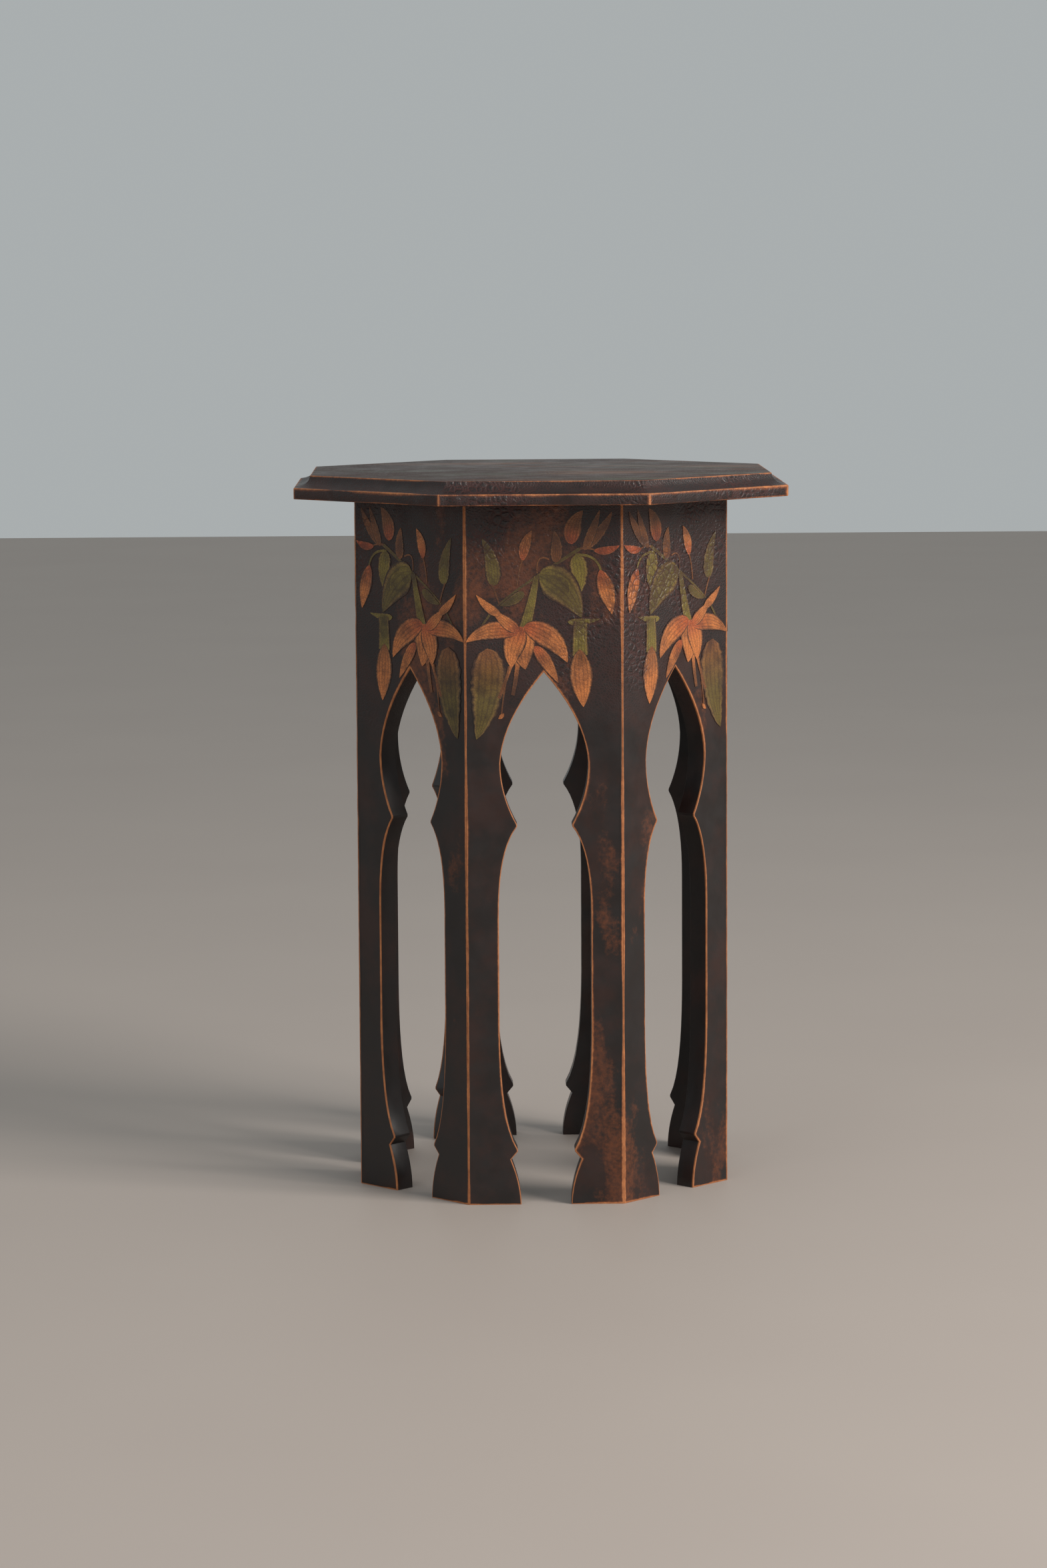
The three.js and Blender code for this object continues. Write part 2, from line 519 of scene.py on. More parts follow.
@dataclass(frozen=True)
class Crackle:
    """The alligatored varnish: coarse blisters in patches, fine crackle round them."""

    coarse: float = 225.0
    fine: float = 560.0
    starts_at: float = 0.30
    full_at: float = 0.37
    coarse_depth: float = 0.00035
    fine_depth: float = 0.00012
    waver: float = 90.0
    waver_reach: float = 0.0016
    patches: float = 13.0

    def fields(self, palette: Palette) -> tuple[Socket, Socket, Socket]:
        """Lays out the cells.

        Args:
            palette: The material that is being built.

        Returns:
            How far a point lies inside its coarse cell and inside its fine one, and the noise
            that spreads the patches.
        """
        place = palette.wander(palette.place, self.waver, self.waver_reach)
        wide = palette.cells(place, self.coarse)
        narrow = palette.cells(place, self.fine)
        return wide, narrow, palette.grain(palette.place, self.patches, 2.0)

    def patch(self, palette: Palette, spread: Socket) -> Socket:
        """How much of a point belongs to a coarse patch."""
        return palette.fade(spread, 0.50, 0.62)

    def lay(self, palette: Palette) -> tuple[Socket, Socket, Socket]:
        """Adds the crackle to a material.

        Args:
            palette: The material that is being built.

        Returns:
            How much of a point is crack, how much it belongs to a coarse patch, and the normal.
        """
        wide, narrow, spread = self.fields(palette)
        height = palette.split(palette.place)[2]
        upper = palette.fade(height, self.starts_at, self.full_at)
        patch = palette.sum("MULTIPLY", self.patch(palette, spread), upper)
        film = palette.sum("MULTIPLY", palette.fade(spread, 0.30, 0.55, 0.25, 1.0), upper)
        wide_crack = palette.sum("MULTIPLY", palette.fade(wide, 0.17, 0.02), patch)
        narrow_crack = palette.sum("MULTIPLY", palette.fade(narrow, 0.16, 0.02), film)
        crack = palette.sum("MAXIMUM", wide_crack, palette.sum("MULTIPLY", narrow_crack, 0.7))
        blister = palette.sum("MULTIPLY", palette.fade(wide, 0.0, 0.3), patch)
        scale = palette.sum("MULTIPLY", palette.fade(narrow, 0.0, 0.3), film)
        normal = palette.relief(scale, self.fine_depth, 0.8)
        normal = palette.relief(blister, self.coarse_depth, 0.9, normal)
        return crack, patch, normal


@dataclass(frozen=True)
class Lacquer:
    """Brown-black lacquer with a red undertone, its cracks and its rubbed arrises."""

    black: Colour = (0.0105, 0.0072, 0.0066)
    red_brown: Colour = (0.030, 0.0105, 0.0072)
    crack_red: Colour = (0.040, 0.0075, 0.0048)
    stained_wood: Colour = (0.16, 0.045, 0.014)
    bare_wood: Colour = (0.62, 0.235, 0.082)
    crackle: Crackle = field(default_factory=Crackle)

    def ground(self, palette: Palette) -> tuple[Socket, Socket, Socket]:
        """Lays the lacquer itself.

        Args:
            palette: The material that is being built.

        Returns:
            The colour, the roughness and the normal.
        """
        crack, patch, normal = self.crackle.lay(palette)
        cloud = palette.fade(palette.grain(palette.place, 24.0, 5.0, 0.62), 0.40, 0.66)
        colour = palette.mix(palette.sum("MULTIPLY", cloud, 0.75), self.black, self.red_brown)
        colour = palette.mix(palette.sum("MULTIPLY", patch, 0.8), colour, self.black)
        colour = palette.mix(palette.sum("MULTIPLY", crack, 0.85), colour, self.crack_red)
        rough = palette.fade(palette.grain(palette.place, 70.0, 3.0), 0.3, 0.7, 0.30, 0.46)
        rough = palette.sum("ADD", rough, palette.sum("MULTIPLY", crack, 0.25))
        return colour, rough, normal

    def rub(
        self, palette: Palette, colour: Socket, distance: Socket, width: Value
    ) -> tuple[Socket, Socket]:
        """Rubs the lacquer off along the arrises.

        Args:
            palette: The material that is being built.
            colour: The lacquer's colour.
            distance: How far a point is from the nearest arris.
            width: How wide the rubbed line is.

        Returns:
            The colour with the rubbed wood, and how far the wood is bare.
        """
        ragged = palette.grain(palette.place, 330.0, 4.0, 0.7)
        edge = palette.sum("DIVIDE", distance, width)
        edge = palette.sum("ADD", edge, palette.sum("MULTIPLY", ragged, 1.1))
        stained = palette.fade(edge, 1.75, 1.05)
        bare = palette.fade(edge, 1.15, 0.72)
        tone = palette.mix(palette.grain(palette.place, 160.0, 2.0), self.stained_wood, self.bare_wood)
        colour = palette.mix(palette.sum("MULTIPLY", stained, 0.75), colour, self.stained_wood)
        return palette.mix(bare, colour, tone), bare


class Paint(Enum):
    """The colours of the painted sprays."""

    ORANGE = (0.60, 0.195, 0.052)
    SCARLET = (0.46, 0.090, 0.026)
    RUST = (0.21, 0.072, 0.020)
    OLIVE = (0.125, 0.088, 0.018)
    MOSS = (0.20, 0.150, 0.024)


class Motif(Enum):
    """The shapes that a painted stroke can have."""

    BUD = "bud"
    PETAL = "petal"
    LEAF = "leaf"
    STEM = "stem"
    BAND = "band"


# Where along its way a motif is fullest, lower being nearer the base, and how blunt its ends
# are, lower being blunter
FULLNESS = {
    Motif.BUD: (0.85, 0.8),
    Motif.PETAL: (0.72, 0.75),
    Motif.LEAF: (0.62, 0.72),
}
LEAF_TEETH = 9.0
TOOTH_DEPTH = 0.16


@dataclass(frozen=True)
class Stroke:
    """One painted stroke, in millimetres across and up the panel.

    The path's points are the controls of one curve from the stroke's base to its tip.
    """

    motif: Motif
    paint: Paint
    width: float
    path: tuple[Point, ...]
    second: Paint | None = None
    tip_width: float | None = None

    def middle(self, share: float) -> Vector:
        """The point of the path at a share of its way.

        Args:
            share: The share, from 0 at the base to 1 at the tip.

        Returns:
            The point, across and up the panel.
        """
        points = [Vector(point) for point in self.path]
        while len(points) > 1:
            points = [first.lerp(last, share) for first, last in zip(points, points[1:])]
        return points[0]

    def half_width(self, share: float) -> float:
        """Half the stroke's width at a share of its way.

        Args:
            share: The share, from 0 at the base to 1 at the tip.

        Returns:
            Half the width.
        """
        full = self.width / 2
        if self.motif not in FULLNESS:
            tip = full if self.tip_width is None else self.tip_width / 2
            return full + (tip - full) * share
        if self.motif is Motif.LEAF:
            full *= 1.0 - TOOTH_DEPTH * ((share * LEAF_TEETH) % 1.0)
        lean, roundness = FULLNESS[self.motif]
        return full * math.sin(math.pi * share**lean) ** roundness

    def tone(self, share: float) -> Colour:
        """The stroke's colour at a share of its way.

        Args:
            share: The share, from 0 at the base to 1 at the tip.

        Returns:
            The colour.
        """
        if self.second is None:
            return self.paint.value
        base, tip = Vector(self.second.value), Vector(self.paint.value)
        blend = base.lerp(tip, min(1.0, share * 1.8))
        return (blend.x, blend.y, blend.z)


# One spray, drawn as it hangs from a panel's upper left corner
SPRAY = (
    Stroke(
        Motif.STEM, Paint.OLIVE, 2.6, ((-24, 437), (-12, 430), (0, 421), (17, 412), (30, 400)), None, 1.2,
    ),
    Stroke(Motif.LEAF, Paint.RUST, 8.0, ((-27, 437), (-40, 449), (-45, 461))),
    Stroke(Motif.LEAF, Paint.RUST, 7.0, ((-27, 436), (-33, 450), (-37, 462))),
    Stroke(Motif.PETAL, Paint.RUST, 12.0, ((-19, 440), (-17, 452), (-26, 462)), Paint.SCARLET),
    Stroke(Motif.BUD, Paint.SCARLET, 6.0, ((-33, 436), (-42, 434), (-50, 439))),
    Stroke(Motif.STEM, Paint.RUST, 1.6, ((-24, 437), (-29, 438), (-34, 436)), None, 1.0),
    Stroke(Motif.LEAF, Paint.RUST, 9.0, ((-8, 428), (-10, 440), (-7, 449))),
    Stroke(Motif.STEM, Paint.RUST, 1.2, ((-4, 430), (5, 435), (4, 421)), None, 0.9),
    Stroke(Motif.BUD, Paint.ORANGE, 8.0, ((13.5, 429), (13, 440), (7.5, 449)), Paint.SCARLET),
    Stroke(Motif.STEM, Paint.RUST, 1.2, ((13.5, 430), (16, 424), (17, 413)), None, 1.0),
    Stroke(Motif.LEAF, Paint.OLIVE, 11.5, ((33, 413), (31, 428), (40, 444)), Paint.MOSS),
    Stroke(Motif.STEM, Paint.RUST, 1.4, ((34, 414), (31, 408), (29, 401)), None, 1.0),
    Stroke(Motif.LEAF, Paint.MOSS, 13.0, ((-21, 433), (-26, 420), (-22, 405))),
    Stroke(Motif.STEM, Paint.MOSS, 2.0, ((-21, 433), (-36, 434), (-38, 421)), None, 1.4),
    Stroke(Motif.BUD, Paint.ORANGE, 11.5, ((-37, 423), (-42, 410), (-45, 394)), Paint.SCARLET),
    Stroke(Motif.PETAL, Paint.OLIVE, 23.0, ((3, 420), (-14, 417), (-25, 392)), Paint.MOSS),
    Stroke(Motif.STEM, Paint.MOSS, 1.8, ((2, 421), (-20, 421), (-17, 408)), None, 1.0),
    Stroke(Motif.LEAF, Paint.MOSS, 5.5, ((-16, 389), (-26, 388), (-37, 391))),
    Stroke(Motif.BAND, Paint.MOSS, 9.5, ((-24.5, 389), (-23.5, 378), (-24, 367)), Paint.OLIVE, 11.0),
    Stroke(Motif.BUD, Paint.ORANGE, 15.5, ((-23.5, 371), (-24.5, 352), (-26, 333)), Paint.RUST),
    Stroke(Motif.BAND, Paint.MOSS, 3.5, ((4.5, 419), (7, 404), (12.5, 384)), Paint.OLIVE, 8.5),
    Stroke(Motif.LEAF, Paint.OLIVE, 7.5, ((13, 409), (20, 402), (28.5, 400))),
    Stroke(Motif.STEM, Paint.OLIVE, 1.7, ((34, 396), (38, 390), (44, 382)), None, 1.2),
    Stroke(Motif.LEAF, Paint.OLIVE, 25.0, ((37, 372), (34, 340), (44.5, 312)), Paint.RUST),
    Stroke(Motif.BAND, Paint.RUST, 3.4, ((17, 364), (18, 352), (20.5, 341)), Paint.ORANGE, 2.6),
    Stroke(Motif.BAND, Paint.RUST, 2.2, ((21, 362), (25, 350), (29.5, 339)), Paint.ORANGE, 2.4),
    Stroke(Motif.STEM, Paint.RUST, 1.2, ((23, 360), (27, 340), (28, 327)), None, 1.0),
    Stroke(Motif.BUD, Paint.ORANGE, 3.0, ((26.5, 329), (28, 326.5), (30, 325.5))),
    Stroke(Motif.PETAL, Paint.ORANGE, 19.0, ((13, 386), (16, 374), (12, 358))),
    Stroke(Motif.PETAL, Paint.ORANGE, 15.0, ((14, 386), (22, 374), (21, 359)), Paint.SCARLET),
    Stroke(Motif.PETAL, Paint.ORANGE, 9.0, ((6, 373), (-2, 364), (-9.5, 349)), Paint.SCARLET),
    Stroke(Motif.PETAL, Paint.ORANGE, 15.5, ((13, 386), (-8, 382), (-15.5, 362.5)), Paint.SCARLET),
    Stroke(Motif.PETAL, Paint.ORANGE, 12.0, ((17, 382), (36, 388), (51, 376)), Paint.SCARLET),
    Stroke(Motif.PETAL, Paint.ORANGE, 8.5, ((16, 383), (24, 388), (33.5, 397)), Paint.SCARLET),
    Stroke(Motif.PETAL, Paint.ORANGE, 6.5, ((28, 394), (36, 397), (44, 407))),
)


# The table's own pieces


@dataclass
class SidePanels:
    """Eight mitred panels, each pierced by a cusped arch, with softened and chipped arrises.

    The slack is how far a point may lie from where it is looked for. The margins keep what is
    picked clear of the panel's own edges and corners. A face above the face area is the
    outer one.
    """

    solids: dict[str, bpy.types.Object]
    glue_line: float = 0.00015
    arris: float = 0.0006
    arch_arris: float = 0.0005
    back_arris: float = 0.0004
    ring: float = 0.0014
    chip: float = 0.00035
    chip_band: float = 0.0016
    cuts: int = 70
    slack: float = 0.0001
    margin: float = 0.001
    corner_margin: float = 0.002
    face_area: float = 0.003

    def __post_init__(self) -> None:
        """Reads the first panel's sizes from its solid."""
        low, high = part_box("side_panel_1")
        self.face = low.y
        self.back = high.y
        self.height = high.z
        self.half_width = high.x

    def on_level(self, level: float, a: Vector, b: Vector) -> bool:
        """Says whether an edge lies at one depth of the panel, and below its head."""
        low = max(a.z, b.z) < self.height - self.margin
        return low and near(a.y, level) and near(b.y, level)

    def pattern(self) -> bpy.types.Object:
        """Models the panel that faces -Y.

        Returns:
            The panel, which the eight are copied from.
        """
        piece = joined_copy(self.solids["side_panel_1"], "panel_pattern")
        push = self.glue_line / math.cos(SECTOR / 2)
        inner = self.half_width - (self.back - self.face) * math.tan(SECTOR / 2)
        with Bench(piece) as bench:
            for sign in (-1, 1):
                bench.pick_points(lambda co: co.x * sign > inner - self.slack)
                bpy.ops.transform.translate(value=(sign * push, 0, 0))
            side = self.half_width + push
            for sign in (-1, 1):
                bench.pick_edges(
                    lambda a, b: near(a.y, self.face) and near(b.y, self.face)
                    and near(a.x, sign * side) and near(b.x, sign * side)
                )
                bpy.ops.mesh.subdivide(number_cuts=self.cuts)
            bench.pick_edges(
                lambda a, b: near(a.y, self.face) and near(b.y, self.face) and near(abs(a.x), side)
                and near(a.x, b.x)
            )
            bpy.ops.mesh.bevel(offset=self.arris, segments=2, affect="EDGES")
            bench.pick_edges(
                lambda a, b: self.on_level(self.face, a, b)
                and abs(a.x) < side - self.corner_margin and abs(b.x) < side - self.slack
            )
            bpy.ops.mesh.bevel(offset=self.arch_arris, segments=2, affect="EDGES")
            bench.pick_edges(
                lambda a, b: self.on_level(self.back, a, b)
                and max(abs(a.x), abs(b.x)) < inner - self.margin
            )
            bpy.ops.mesh.bevel(offset=self.back_arris, segments=1, affect="EDGES")
            bench.pick_faces(lambda middle, normal: near(middle.y, self.face) and normal.y < -SQUARE_ON)
            bpy.ops.mesh.inset(thickness=self.ring, depth=0)
        self.mark_ring(piece)
        return piece

    def mark_ring(self, piece: bpy.types.Object) -> None:
        """Marks each vertex with how near it is to an arris, from the ring that was inset.

        Args:
            piece: The panel.
        """
        mesh = piece.data
        inner = {
            index
            for face in mesh.polygons
            if face.area > self.face_area and face.normal.y < -SQUARE_ON
            for index in face.vertices
        }
        layer = mesh.attributes.new("ring", "FLOAT", "POINT")
        for vertex in mesh.vertices:
            front = vertex.co.y < self.face + 2 * self.arch_arris
            layer.data[vertex.index].value = 1.0 if front and vertex.index not in inner else 0.0

    def chip_arrises(self, piece: bpy.types.Object) -> None:
        """Knocks the outer arrises of a placed panel about, a little and unevenly.

        Args:
            piece: The panel, in its place.
        """
        reach = -self.face / math.cos(SECTOR / 2) - self.chip_band
        for vertex in piece.data.vertices:
            flat = flat_part(vertex.co)
            between_ends = self.corner_margin < vertex.co.z < self.height - self.corner_margin
            if flat.length > reach and between_ends:
                vertex.co -= flat.normalized() * self.chip * wear(vertex.co, 210.0, 620.0)

    def build(self, finish: bpy.types.Material) -> None:
        """Makes and places the eight panels.

        Args:
            finish: The panels' material.
        """
        pattern = self.pattern()
        for number in range(1, SIDES + 1):
            node = f"side_panel_{number}"
            panel = new_piece(f"lacquered_panel_{number}", pattern.data.copy())
            panel.data.transform(Matrix.Rotation((number - 1) * SECTOR, 4, "Z"))
            self.chip_arrises(panel)
            panel.data.materials.append(finish)
            soften(panel)
            hand_over(panel, "dark_lacquer", node)
        bpy.data.objects.remove(pattern)


@dataclass
class PaintedSprays:
    """A spray of lilies and leaves in thin paint at the head of each panel."""

    film: float = 0.00006
    step: float = 0.000008
    depth: float = 0.0004
    rows: int = 22
    columns: int = 6
    look_ahead: float = 0.02
    least_half: float = 0.18

    def sheet(self, name: str, face: float, mirrored: bool) -> bpy.types.Object:
        """Models one spray's strokes on the panel that faces -Y.

        Args:
            name: The piece's name.
            face: The Y of the panel's outer face.
            mirrored: Whether the spray hangs from the upper right corner.

        Returns:
            The spray, as closed films of paint.
        """
        work = bmesh.new()
        place = work.loops.layers.uv.new("stroke")
        tint = work.loops.layers.float_color.new("paint")
        side = -1.0 if mirrored else 1.0
        for layer, stroke in enumerate(SPRAY):
            level = face - self.film - layer * self.step
            grid = []
            for row in range(self.rows + 1):
                share = row / self.rows
                middle = stroke.middle(share)
                behind = stroke.middle(max(0.0, share - self.look_ahead))
                ahead = stroke.middle(min(1.0, share + self.look_ahead)) - behind
                sideways = Vector((ahead.y, -ahead.x)).normalized()
                half = max(self.least_half, stroke.half_width(share))
                line = []
                for column in range(self.columns + 1):
                    across = 2 * column / self.columns - 1
                    point = middle + sideways * half * across
                    corner = work.verts.new((side * point.x * MM, level, point.y * MM))
                    line.append((corner, (column / self.columns, share), stroke.tone(share)))
                grid.append(line)
            for lower, upper in zip(grid, grid[1:]):
                for index in range(self.columns):
                    ring = [lower[index], lower[index + 1], upper[index + 1], upper[index]]
                    patch = work.faces.new([corner for corner, _, _ in ring])
                    for loop, (_, spot, tone) in zip(patch.loops, ring):
                        loop[place].uv = spot
                        loop[tint] = (*tone, 1.0)
        for patch in work.faces:
            patch.normal_update()
            if patch.normal.y > 0:
                patch.normal_flip()
        mesh = bpy.data.meshes.new(name)
        work.to_mesh(mesh)
        work.free()
        piece = new_piece(name, mesh)
        take_up(piece)
        bpy.ops.object.modifier_add(type="SOLIDIFY")
        piece.modifiers[-1].thickness = self.depth
        piece.modifiers[-1].offset = -1.0
        bpy.ops.object.modifier_apply(modifier=piece.modifiers[-1].name)
        return piece

    def build(self, finish: bpy.types.Material) -> None:
        """Makes and places the eight sprays, every other one mirrored.

        Args:
            finish: The paint's material.
        """
        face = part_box("side_panel_1")[0].y
        for number in range(1, SIDES + 1):
            piece = self.sheet(f"painted_spray_{number}", face, mirrored=number % 2 == 1)
            piece.data.transform(Matrix.Rotation((number - 1) * SECTOR, 4, "Z"))
            piece.data.materials.append(finish)
            hand_over(piece, "dark_lacquer")


@dataclass
class TopBoard:
    """The octagonal top: a square band, a cove above it, and arrises rounded and chipped by use."""

    solid: bpy.types.Object
    cuts: int = 34
    cove_steps: int = 9
    ledge_arris: float = 0.0008
    under_arris: float = 0.0006
    upper_arris: float = 0.0005
    corner_arris: float = 0.0012
    chip: float = 0.0005
    chip_band: float = 0.0013
    ledge_band: float = 0.0012
    under_band: float = 0.0009
    slack: float = 0.0001

    def __post_init__(self) -> None:
        """Reads the board's sizes from its solid."""
        low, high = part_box("top_board")
        self.under = low.z
        self.top = high.z
        self.apothem = high.x
        points = [vertex.co for vertex in self.solid.data.vertices]
        self.ledge = max(co.z for co in points if near(self.reach(co), self.apothem, self.slack))
        self.flat = max(self.reach(co) for co in points if near(co.z, self.top))

    def reach(self, co: Vector) -> float:
        """How far out a point is, measured square to the octagon's side.

        Args:
            co: The point.

        Returns:
            The distance from the axis.
        """
        turn = math.atan2(co.x, -co.y)
        angle = turn - round(turn / SECTOR) * SECTOR
        return math.hypot(co.x, co.y) * math.cos(angle)

    def under_section(self) -> list[Point]:
        """The section of the lower arris's rounding.

        Returns:
            Its points, as reach and height, from the band down to the underside.
        """
        shoulder = self.under_arris * (1 - math.sqrt(0.5))
        return [
            (self.apothem, self.under + self.under_arris),
            (self.apothem - shoulder, self.under + shoulder),
            (self.apothem - self.under_arris, self.under),
        ]

    def upper_section(self) -> list[Point]:
        """The section of the rounded ledge, the cove and the upper arris.

        Returns:
            Its points, as reach and height, from the band up to the flat.
        """
        wide, high = self.apothem - self.flat, self.top - self.ledge
        start = math.asin(self.ledge_arris / wide)
        end = math.acos(self.upper_arris / high)
        turns = [start + (end - start) * step / self.cove_steps for step in range(self.cove_steps + 1)]
        cove = [(self.apothem - wide * math.sin(turn), self.top - high * math.cos(turn)) for turn in turns]
        ledge_shoulder = self.ledge_arris * (1 - math.sqrt(0.5))
        upper_shoulder = self.upper_arris * (1 - math.sqrt(0.5))
        return [
            (self.apothem, self.ledge - self.ledge_arris),
            (self.apothem - ledge_shoulder, self.ledge - ledge_shoulder),
            *cove,
            (self.flat - upper_shoulder, self.top - upper_shoulder),
            (self.flat - self.upper_arris, self.top),
        ]

    def build(self, finish: bpy.types.Material) -> None:
        """Models the top: an octagon is drawn up into a band, then in through its section.

        Args:
            finish: The top's material.
        """
        bpy.ops.object.select_all(action="DESELECT")
        start = self.under + self.under_arris
        bpy.ops.mesh.primitive_circle_add(
            vertices=SIDES, radius=self.apothem / math.cos(SECTOR / 2), location=(0, 0, start),
            rotation=(0, 0, SECTOR / 2),
        )
        board = bpy.context.active_object
        board.name = "lacquered_top"
        bpy.ops.object.transform_apply(location=True, rotation=True, scale=True)
        band = self.ledge - self.ledge_arris - start
        with Bench(board) as bench:
            bench.pick_all()
            bpy.ops.mesh.edge_face_add()
            bpy.ops.mesh.extrude_region_move(TRANSFORM_OT_translate={"value": (0, 0, band)})
            bench.pick_all()
            bpy.ops.mesh.normals_make_consistent(inside=False)
            for section in (self.under_section(), self.upper_section()):
                level = section[0][1]
                bench.pick_faces(lambda middle, normal: near(middle.z, level) and abs(normal.z) > SQUARE_ON)
                for (reach, height), (next_reach, next_height) in zip(section, section[1:]):
                    bpy.ops.mesh.inset(thickness=reach - next_reach, depth=abs(next_height - height))
            self.divide_sides(bench)
            bench.pick_edges(self.on_corner)
            bpy.ops.mesh.bevel(offset=self.corner_arris, segments=3, affect="EDGES")
        self.chip_arrises(board)
        board.data.materials.append(finish)
        soften(board)
        hand_over(board, "dark_lacquer", "top_board")

    def divide_sides(self, bench: Bench) -> None:
        """Divides each side's arrises lengthwise, with the two flats taken off and put back.

        Args:
            bench: The open board.
        """
        bench.pick_faces(lambda middle, normal: math.hypot(middle.x, middle.y) < self.flat / 2)
        bpy.ops.mesh.delete(type="ONLY_FACE")
        bench.pick_edges(lambda a, b: near(a.z, b.z) and (a - b).length > self.flat / 2)
        bpy.ops.mesh.subdivide(number_cuts=self.cuts)
        for height, reach in (
            (self.under, self.apothem - self.under_arris),
            (self.top, self.flat - self.upper_arris),
        ):
            bench.pick_edges(
                lambda a, b: near(a.z, height) and near(b.z, height)
                and near(self.reach(a), reach, self.slack) and near(self.reach(b), reach, self.slack)
            )
            bpy.ops.mesh.edge_face_add()

    def on_corner(self, a: Vector, b: Vector) -> bool:
        """Says whether an edge stands on one of the band's eight corners."""
        corner = self.apothem / math.cos(SECTOR / 2)
        return all(near(math.hypot(co.x, co.y), corner, WELD) for co in (a, b))

    def chip_arrises(self, board: bpy.types.Object) -> None:
        """Knocks the board's outer arrises about, a little and unevenly.

        Args:
            board: The finished board.
        """
        for vertex in board.data.vertices:
            by_ledge = near(vertex.co.z, self.ledge, self.ledge_band)
            by_underside = near(vertex.co.z, self.under, self.under_band)
            if self.reach(vertex.co) > self.apothem - self.chip_band and (by_ledge or by_underside):
                out = flat_part(vertex.co).normalized()
                vertex.co -= out * self.chip * wear(vertex.co, 150.0, 480.0)


# Finishes


@dataclass(frozen=True)
class PanelFinish:
    """Lacquer on the panels, rubbed along the arch and down the corners."""

    lacquer: Lacquer
    ring: float
    corner_reach: float
    rub_width: float = 0.0011
    blend: float = 0.001
    out_of_reach: float = 0.01

    def make(self) -> bpy.types.Material:
        """Builds the material.

        Returns:
            The finished material.
        """
        palette = Palette("panel_lacquer")
        colour, rough, normal = self.lacquer.ground(palette)
        across, outward, _ = palette.fold()
        ring = palette.attribute("ring")
        to_arch = palette.sum("MULTIPLY", palette.sum("SUBTRACT", 1.0, ring), self.ring)
        side = palette.sum("MULTIPLY", outward, math.tan(SECTOR / 2))
        to_corner = palette.sum("SUBTRACT", side, palette.sum("ABSOLUTE", across))
        skin = self.corner_reach - self.blend
        inside = palette.fade(outward, skin - self.blend, skin, 1.0, 0.0)
        to_corner = palette.sum("ADD", to_corner, inside)
        distance = palette.sum("MINIMUM", to_arch, to_corner)
        distance = palette.sum("ADD", distance, palette.sum("MULTIPLY", inside, self.out_of_reach))
        worn = palette.grain(palette.stretch(palette.place, (1.0, 1.0, 0.45)), 21.0, 3.0)
        width = palette.fade(worn, 0.38, 0.72, 0.15, 1.6)
        width = palette.sum("MULTIPLY", width, self.rub_width)
        colour, bare = self.lacquer.rub(palette, colour, distance, width)
        rough = palette.sum("ADD", rough, palette.sum("MULTIPLY", bare, 0.25))
        return palette.finish(colour, rough, normal)


@dataclass(frozen=True)
class PaintFinish:
    """Faded paint on the lacquer: broken at its edges, veined, and crackled with what it lies on."""

    lacquer: Lacquer
    rim_orange: Colour = (0.75, 0.36, 0.14)
    thickest: float = 0.9

    def make(self) -> bpy.types.Material:
        """Builds the material.

        Returns:
            The finished material.
        """
        palette = Palette("spray_paint")
        ground, rough, normal = self.lacquer.ground(palette)
        crackle = self.lacquer.crackle
        across = palette.split(palette.attribute("stroke", "Vector"))[0]
        middle = palette.sum("ABSOLUTE", palette.sum("SUBTRACT", palette.sum("MULTIPLY", across, 2.0), 1.0))
        ragged = palette.grain(palette.place, 620.0, 4.0, 0.7)
        edge = palette.sum("SUBTRACT", 1.0, middle)
        cover = palette.fade(palette.sum("ADD", edge, palette.sum("MULTIPLY", ragged, 0.5)), 0.22, 0.55)
        faded = palette.fade(palette.grain(palette.place, 75.0, 4.0, 0.65), 0.30, 0.62, 0.35, 1.0)
        vein_wave = palette.sum("SINE", palette.sum("MULTIPLY", across, 34.0))
        vein = palette.fade(palette.sum("ADD", vein_wave, ragged), 0.6, 1.5)
        tone = palette.attribute("paint", "Color")
        light = palette.mix(0.35, tone, self.rim_orange)
        rim = palette.fade(middle, 0.55, 0.9)
        paint = palette.mix(palette.sum("MULTIPLY", rim, 0.5), tone, light)
        paint = palette.mix(palette.sum("MULTIPLY", vein, 0.35), paint, self.lacquer.red_brown)
        wide, narrow, spread = crackle.fields(palette)
        wide_crack = palette.sum("MULTIPLY", palette.fade(wide, 0.15, 0.03), crackle.patch(palette, spread))
        broken = palette.sum("MAXIMUM", palette.fade(narrow, 0.12, 0.02, 0.0, 0.55), wide_crack)
        whole = palette.sum("SUBTRACT", 1.0, palette.sum("MULTIPLY", broken, 0.7))
        share = palette.sum("MULTIPLY", palette.sum("MULTIPLY", cover, faded), whole)
        share = palette.sum("MULTIPLY", share, self.thickest)
        return palette.finish(palette.mix(share, ground, paint), rough, normal)


